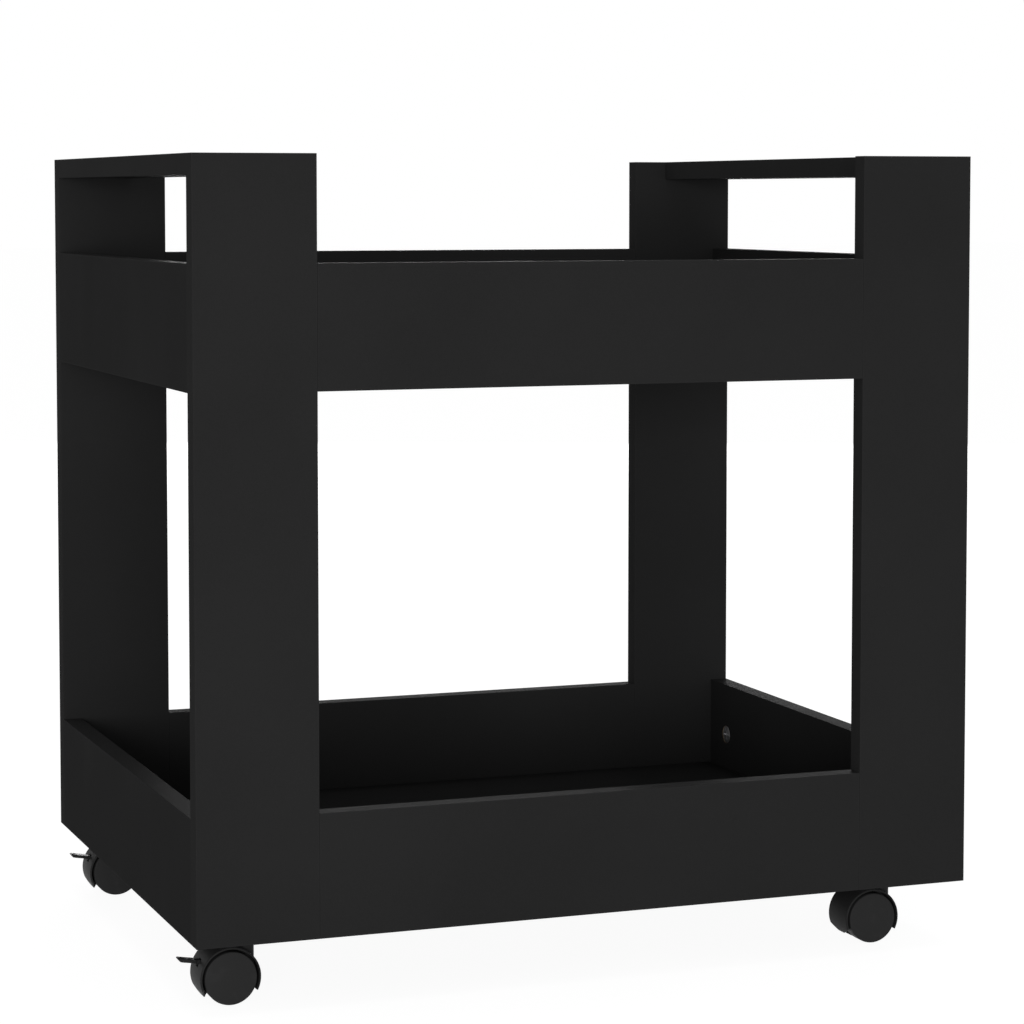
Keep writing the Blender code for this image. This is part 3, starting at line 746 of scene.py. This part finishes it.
def makeHood(place, braked):
    look = hoodLook
    node = "hood_" + place
    low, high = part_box(node)
    pin = middleOf("kingpin_" + place)
    axis = middleOf(f"wheel_{place}_a")
    axis.y = pin.y
    radius, half, web = look["radius"], (high.y - low.y) / 2, look["middle wall"] / 2
    piece = addRound(node + "_moulded", axis, radius, 2 * half, "Y", look["sides"])
    pickFaces(piece, lambda center, normal: abs(normal.y) > squarely)
    bevelPicked(look["rim round"], look["rim steps"])
    bpy.ops.object.mode_set(mode="OBJECT")

    # what is open below, between the front end and the tail, round the boss
    tail = look["braked tail angle"] if braked else look["tail angle"]
    below = addRound("below", axis, 2 * radius, 3 * half, "Y")
    front, back = polar(axis, radius, look["front angle"]), polar(axis, radius, tail)
    bossBack = polar(axis, look["boss radius"], look["back angle"])
    sliced(below, axis, Vector((front.z - axis.z, 0, axis.x - front.x)) * -1)
    sliced(below, back, Vector((back.z - bossBack.z, 0, bossBack.x - back.x)))
    combine(below, addRound("boss", axis, look["boss radius"], 4 * half, "Y", look["boss sides"]))
    combine(piece, below)

    # the neck stands on the crown, and its foot is inside the hood
    neckAt = (pin.x, pin.y, (axis.z + high.z) / 2 + radius / 4)
    neckLength = high.z - axis.z - radius / 2
    combine(piece, addRound("neck", neckAt, look["neck radius"], neckLength), "UNION")

    reach = 2 * radius
    for side in (-1, 1):
        pocketAt = axis + Vector((0, side * (web + reach / 2), 0))
        combine(piece, addRound("pocket", pocketAt, radius - look["wall"], reach, "Y", look["sides"]))
    bore, past = high.z - (axis.z + radius - look["pin depth"]), look["bore past"]
    boreAt = (pin.x, pin.y, high.z - bore / 2 + past / 2)
    combine(piece, addRound("pin bore", boreAt, look["pin bore"], bore + past, "Z", boreSides))
    combine(piece, addRound("axle bore", axis, look["axle bore"], reach, "Y", boreSides))
    if braked:
        cutSlot(piece, pivotOf(place), web)
    slantTail(piece, axis, tail, half, web)
    return smooth(cleaned(piece), look["smooth"])


def cutSlot(piece, pivot, web):
    # the lever's slot opens to the back, as far as the lever tips up and down
    look = hoodLook
    width, far = look["slot half width"], look["slot length"]
    slot = addBox("slot", pivot - Vector((far, width, far / 2)), pivot + Vector((0, width, far / 2)))
    for up, angle in ((1, leverLook["rise"]), (-1, leverLook["travel"] - leverLook["rise"])):
        edge = pivot + Vector((0, 0, up * look["slot margin"]))
        a = math.radians(angle)
        sliced(slot, edge, Vector((math.sin(a), 0, up * math.cos(a))))
    combine(slot, addRound("slot back", pivot, look["slot back"], 2 * width, "Y", boreSides), "UNION")
    combine(piece, slot)
    combine(piece, addRound("pin holes", pivot, look["pin hole"], 4 * web, "Y", pinSides))


def slantTail(piece, axis, tail, half, web):
    # the back end slants from the sides down to the middle wall
    look = hoodLook
    begin = polar(axis, look["radius"], look["back angle"])
    along = polar(axis, look["radius"], tail) - begin
    through = Vector((-along.z, 0, along.x))
    length, width = look["wedge length"], 2 * (half - web) + look["wedge spare"]
    size = Vector((length * along.length, width, look["wedge height"] * look["wall"]))
    turn = -math.atan2(along.z, along.x)
    for side in (-1, 1):
        middle = begin + along * (length / 2) + Vector((0, side * half, 0))
        bpy.ops.object.select_all(action="DESELECT")
        bpy.ops.mesh.primitive_cube_add(size=1, location=middle, rotation=(0, turn, 0), scale=size)
        wedge = named("wedge")
        edge = along + Vector((0, side * (web + look["tail margin"] - half), 0))
        sliced(wedge, begin + Vector((0, side * half, 0)), edge.cross(through) * side)
        combine(piece, wedge)


leverLook = {
    "width": 0.0050,         # inside the hood's slot
    "paddle": 0.0080,        # outside it
    "shoulder": 0.0065,      # from the pivot to the paddle
    "thickness": 0.0023,
    "reach": 0.0206,
    "rise": 9,               # degrees above level when off
    "travel": 20,
    "tip": 0.0020,           # how far the tip is cut back below
    "corner": 0.0014,
    "corner steps": 5,
    "round": 0.0004,
    "round steps": 3,
    "round over": 40,        # degrees between faces, from which their edge is rounded
    "barrel": 0.0018,
    "pin": 0.0011,
    "pin reach": 0.0044,
    "nose": 0.0028,
    "nose width": 0.85,      # share of the barrel
    "ridges": 3,
    "ridge": 0.0003,
    "ridge step": 0.0014,
    "ridge width": 0.7,      # share of the paddle
    "smooth": 30,            # degrees
}


def pivotOf(place):
    joint = next(j for j in frame["joints"] if j["name"] == f"brake_{place}_press")
    return Vector(joint["pos_m"])


def makeLever(place):
    look = leverLook
    pivot = pivotOf(place)
    thick, half, wide = look["thickness"] / 2, look["width"] / 2, look["paddle"] / 2

    def span(name, start, end, width, low, high):
        return addBox(name, pivot + Vector((-end, -width, low)), pivot + Vector((-start, width, high)))

    paddle = span(f"brake_lever_{place}_moulded", look["shoulder"], look["reach"], wide, -thick, thick)
    lowTip = pivot + Vector((look["tip"] - look["reach"], 0, -thick))
    highTip = pivot + Vector((-look["reach"], 0, thick / 2))
    cut = highTip - lowTip
    sliced(paddle, lowTip, Vector((-cut.z, 0, cut.x)))
    pickEdges(paddle, lambda a, b: abs(a.y - b.y) < sameLength and abs(a.z - b.z) > thick / 3)
    bevelPicked(look["corner"], look["corner steps"])
    bpy.ops.object.mode_set(mode="OBJECT")
    soften(paddle, look["round"], look["round steps"], look["round over"])
    for i in range(look["ridges"]):
        far, width = look["reach"] - look["corner"] - i * look["ridge step"], wide * look["ridge width"]
        ridge = span("ridge", far - 2 * look["ridge"], far, width, 0, thick + look["ridge"])
        combine(paddle, ridge, "UNION")
    combine(paddle, span("neck", 0, look["shoulder"] + thick, half, -thick, thick), "UNION")
    spun(paddle, pivot, -math.radians(look["rise"]))
    combine(paddle, addRound("barrel", pivot, look["barrel"], 2 * half, "Y", pinSides), "UNION")
    combine(paddle, addRound("pins", pivot, look["pin"], 2 * look["pin reach"], "Y", dowelSides), "UNION")
    noseAt, noseRadius = pivot - Vector((0, 0, look["nose"] / 2)), look["barrel"] * look["nose width"]
    combine(paddle, addRound("nose", noseAt, noseRadius, look["nose"], "Z", sides=4), "UNION")
    return smooth(cleaned(paddle), look["smooth"])


def placeHoods():
    for hand, braked in (("left", True), ("right", False)):
        hood = makeHood("front_" + hand, braked)
        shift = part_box("hood_back_" + hand)[0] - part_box("hood_front_" + hand)[0]
        other = copied(hood, f"hood_back_{hand}_moulded", shift)
        dress(hood, nylonGloss, "swivel_front_" + hand, "hood_front_" + hand)
        dress(other, nylonGloss, "swivel_back_" + hand, "hood_back_" + hand)
    lever = makeLever("front_left")
    other = copied(lever, "brake_lever_back_left_moulded", pivotOf("back_left") - pivotOf("front_left"))
    dress(lever, nylonGloss, "brake_front_left", "brake_lever_front_left")
    dress(other, nylonGloss, "brake_back_left", "brake_lever_back_left")


placeHoods()
print("hoods and levers made")


plateLook = {
    "thickness": 0.0015,
    "seat": 0.0002,          # between the plate and the shelf
    "corner": 0.005,
    "corner steps": 10,
    "edge": 0.0002,
    "dish radius": 0.0088,
    "dish depth": 0.0012,
    "hole": 0.0033,
    "screw step": 0.0135,
    "head radius": 0.0033,
    "head height": 0.0018,
    "head sides": 40,
    "head round": 0.6,       # share of its height
    "head steps": 5,
    "shank": 0.0017,
    "point": 1.5,            # length, in radii of the shank
    "point tip": 0.0001,
    "cross": 0.0040,
    "cross width": 0.0009,
    "cross depth": 0.0011,
    "lap": 0.0002,           # how far the dish and a screw's point reach into what they are joined to
    "head lap": 0.0004,      # the same for a screw's head
    "smooth": 30,            # degrees
}


def makePlate(place):
    look = plateLook
    node = "caster_plate_" + place
    low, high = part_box(node)
    middle = (low + high) / 2
    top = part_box("shelf_lower")[0].z - look["seat"]
    under = top - look["thickness"]
    piece = addBox(node + "_pressed", (low.x, low.y, under), (high.x, high.y, top))
    pickEdges(piece, lambda a, b: abs(a.z - b.z) > look["thickness"] / 2)
    bevelPicked(look["corner"], look["corner steps"])
    pickFaces(piece, lambda center, normal: normal.z < -squarely)
    bevelPicked(look["edge"], 2)
    bpy.ops.object.mode_set(mode="OBJECT")

    # the dish is pressed down round the pin's hole
    radius, depth, lap = look["dish radius"], look["dish depth"], look["lap"]
    at = lambda z: (middle.x, middle.y, z)
    boss = addRound("boss", at(under - depth / 2 + lap / 2), radius, depth + lap, tip=radius + depth)
    combine(piece, boss, "UNION")
    floor = under - depth + look["thickness"]
    inner = radius - look["thickness"] / 2
    combine(piece, addRound("dish", at(floor + depth), inner, 2 * depth, tip=inner + 2 * depth))
    combine(piece, addRound("hole", at(under), look["hole"], 8 * depth, "Z", boreSides))

    for x in (-look["screw step"], look["screw step"]):
        for y in (-look["screw step"], look["screw step"]):
            combine(piece, makeScrew(middle.x + x, middle.y + y, under, high.z), "UNION")
    return smooth(piece, look["smooth"])


def makeScrew(x, y, under, tip):
    # a pan head below the plate, its cross recess, and a shank up into the shelf
    look = plateLook
    height, headLap, lap, shank = look["head height"], look["head lap"], look["lap"], look["shank"]
    headAt = (x, y, under - height / 2 + headLap / 2)
    head = addRound("head", headAt, look["head radius"], height + headLap, "Z", look["head sides"])
    pickFaces(head, lambda center, normal: normal.z < -squarely)
    bevelPicked(height * look["head round"], look["head steps"])
    bpy.ops.object.mode_set(mode="OBJECT")
    spot = Vector((x, y, under - height))
    for long, wide in ((look["cross"], look["cross width"]), (look["cross width"], look["cross"])):
        half = Vector((long / 2, wide / 2, look["cross depth"]))
        combine(head, addBox("bar", spot - half, spot + half))
    point = shank * look["point"]
    shankAt, pointAt = (x, y, (under + tip - point) / 2), (x, y, tip - point / 2 - lap / 2)
    combine(head, addRound("shank", shankAt, shank, tip - point - under, "Z", dowelSides), "UNION")
    cone = addRound("point", pointAt, shank, point + lap, "Z", dowelSides, look["point tip"])
    combine(head, cone, "UNION")
    return head


def placePlates():
    plate = makePlate("front_left")
    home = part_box("caster_plate_front_left")[0]
    for place in casterPlaces:
        node = "caster_plate_" + place
        piece = plate if place == "front_left" else copied(plate, node + "_pressed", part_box(node)[0] - home)
        dress(piece, zincPlate, "cart", node)


placePlates()
for node, item in frame["nodes"].items():
    if node.startswith(("cam_bolt", "kingpin", "axle")):
        item.data.materials.clear()
        item.data.materials.append(zincPlate)
print("plates made")


# Camera, light and floor

studio = {
    "camera": (-0.8067, -2.2044, 0.5708),
    "yaw": 20.485,           # degrees from +Y towards +X
    "pitch": 3.717,          # degrees down
    "lens": 104.79,
    "sensor": 36,
    "shift": -0.12,
    "soft light": 0.38,      # world, as it lights the matt surfaces
    "white": 1.0,            # world and floor, as the camera and glossy surfaces see them
    # place, power, width and depth or height of each soft light
    "lights": {
        "key": ((-1.7, -4.15, 0.62), 104, 2.4, 1.1),    # low, from the front left
        "fill": ((1.7, 4.15, 0.62), 104, 2.4, 1.1),     # the same from behind
        "top": ((0, 0, 3.2), 22, 2.0, 2.0),
    },
    "aim": (0, 0, 0.3),      # where the lights look, the middle of the cart
    "floor size": 60,
    "floor": 0.80,
    "floor roughness": 0.9,
    "floor lit": 0.33,       # how bright the far floor looks under these lights
    "floor white": 0.80,     # share of plain white in the floor, as the camera sees it
}
whiteRays = ("Is Camera Ray", "Is Glossy Ray", "Is Transmission Ray")


def makeCamera():
    camera = bpy.data.objects.new("camera", bpy.data.cameras.new("camera"))
    bpy.context.scene.collection.objects.link(camera)
    camera.location = studio["camera"]
    camera.rotation_euler = (math.radians(90 - studio["pitch"]), 0, math.radians(-studio["yaw"]))
    camera.data.lens = studio["lens"]
    camera.data.sensor_width = studio["sensor"]
    camera.data.shift_y = studio["shift"]
    bpy.context.scene.camera = camera
    bpy.context.scene.view_settings.view_transform = "Standard"


def makeLights():
    for name, (place, power, width, height) in studio["lights"].items():
        bpy.ops.object.select_all(action="DESELECT")
        bpy.ops.object.light_add(type="AREA", location=place)
        light = bpy.context.active_object
        light.name = name
        light.data.energy = power
        light.data.shape = "RECTANGLE"
        light.data.size = width
        light.data.size_y = height
        light.visible_camera = False
        toCart = Vector(studio["aim"]) - Vector(place)
        light.rotation_euler = toCart.to_track_quat("-Z", "Y").to_euler()


def makeFloor():
    # mostly white to the camera, and for the rest a matt floor that takes the cart's shadow
    bpy.ops.object.select_all(action="DESELECT")
    bpy.ops.mesh.primitive_plane_add(size=studio["floor size"])
    floor = named("floor")
    ground = Finish("floor_white")
    camera, glossy, through = [ground.node("LightPath", {}, {}, ray) for ray in whiteRays]
    shade, rough, share = studio["floor"], studio["floor roughness"], studio["floor white"]
    seen = ground.node("Math", {"operation": "MAXIMUM"}, {0: camera, 1: glossy})
    seen = ground.node("Math", {"operation": "MAXIMUM"}, {0: seen, 1: through}) * share
    ground.set(Base_Color=(shade, shade, shade, 1), Roughness=rough, Specular_IOR_Level=0.0)
    strength = (1 - (1 - share) * studio["floor lit"]) / share
    glow = ground.node("Emission", {}, {"Color": (1, 1, 1, 1), "Strength": strength})
    matt = Wire(ground, ground.shader.outputs[0])
    mixed = ground.node("MixShader", {}, {0: seen, 1: matt, 2: glow})
    ground.join(mixed, ground.tree.nodes["Material Output"].inputs["Surface"])
    floor.data.materials.append(ground.material)


def makeWorld():
    world = bpy.data.worlds.new("studio")
    bpy.context.scene.world = world
    world.use_nodes = True
    nodes, links = world.node_tree.nodes, world.node_tree.links
    soft, white = nodes["Background"], nodes.new("ShaderNodeBackground")
    for background, strength in ((soft, studio["soft light"]), (white, studio["white"])):
        background.inputs["Color"].default_value = (1, 1, 1, 1)
        background.inputs["Strength"].default_value = strength
    path = nodes.new("ShaderNodeLightPath")
    last = soft.outputs[0]
    for ray in whiteRays:
        mixed = nodes.new("ShaderNodeMixShader")
        links.new(path.outputs[ray], mixed.inputs[0])
        links.new(last, mixed.inputs[1])
        links.new(white.outputs[0], mixed.inputs[2])
        last = mixed.outputs[0]
    links.new(last, nodes["World Output"].inputs["Surface"])


makeCamera()
makeLights()
makeFloor()
makeWorld()
print("studio made")
